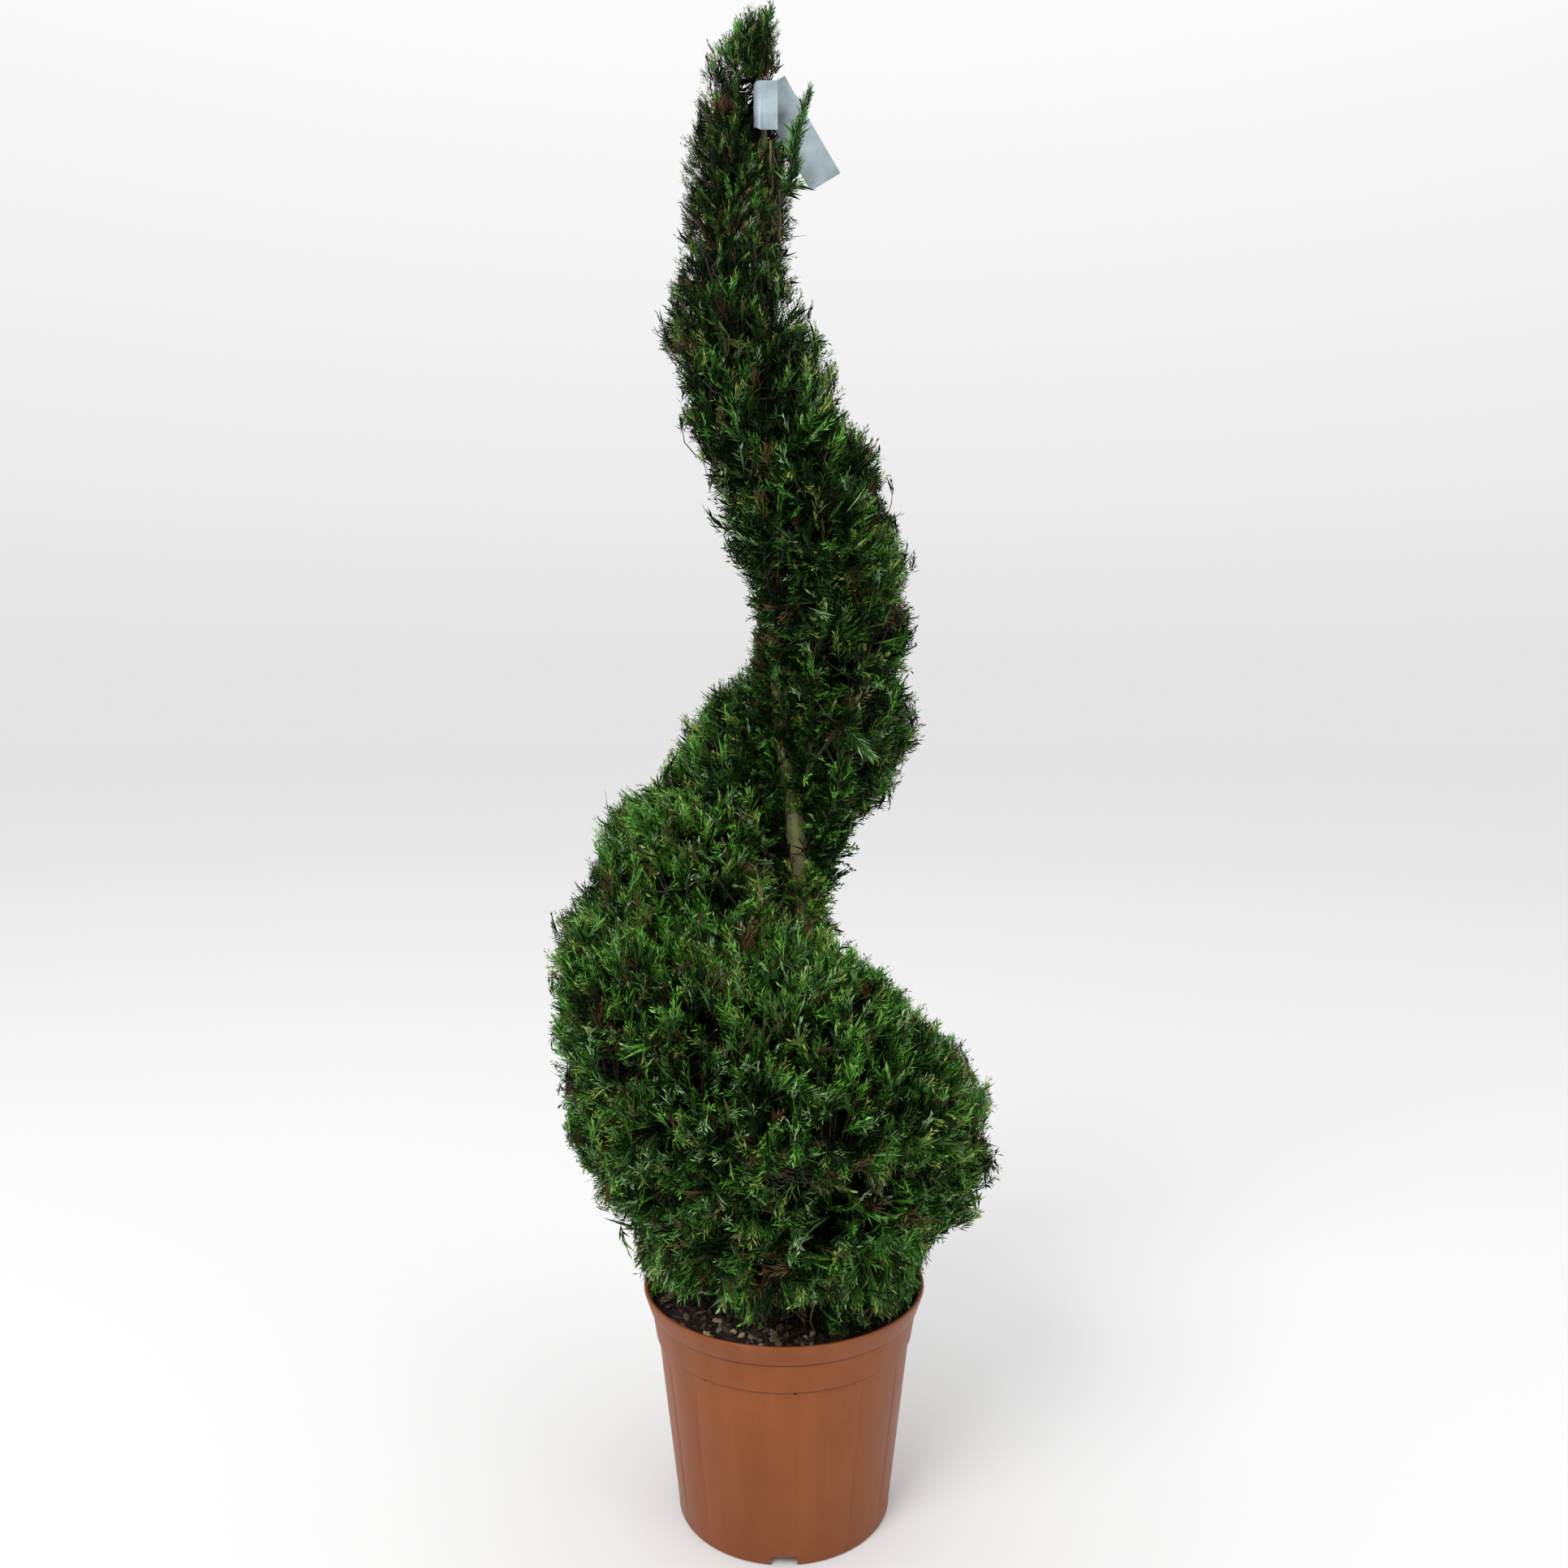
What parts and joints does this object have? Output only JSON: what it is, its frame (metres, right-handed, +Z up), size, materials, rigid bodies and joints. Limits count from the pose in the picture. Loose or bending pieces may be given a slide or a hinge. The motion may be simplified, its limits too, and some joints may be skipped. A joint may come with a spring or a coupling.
{
  "type": "potted spiral topiary",
  "caption": "Evergreen conifer clipped into a tapering spiral round its trunk, in a round tapered nursery pot, with a blank bent label at the tip.",
  "frame": {"origin": "middle of the pot's underside, at the level that it stands on", "axes": "+Z up along the pot's axis, -Y towards the side that the picture shows, +X to its right"},
  "size_m": [0.4692, 0.4773, 1.483],
  "materials": {
    "pot": "satin moulded",
    "compost": "loose, damp",
    "bark": "smooth young bark",
    "twig": "smooth young bark",
    "foliage": "clipped scale leaves",
    "label": "satin sheet"
  },
  "bodies": {
    "root": {"pot": "pot", "compost": "compost", "trunk": "bark", "label": "label", "bough_01_right": "twig", "bough_02_front": "twig", "bough_03_front": "twig", "bough_04_back_left": "twig", "bough_05_left": "twig", "bough_06_back": "twig", "foliage_12_side_shoot": "foliage", "foliage_01_skirt": "foliage", "foliage_02_front": "foliage", "foliage_03_front_left": "foliage", "foliage_04_left": "foliage", "foliage_05_back": "foliage", "foliage_06_right": "foliage", "foliage_07_right_front": "foliage", "foliage_08_front_left": "foliage", "foliage_09_left": "foliage", "foliage_10_back_left": "foliage", "foliage_11_tip": "foliage"}
  },
  "joints": []
}
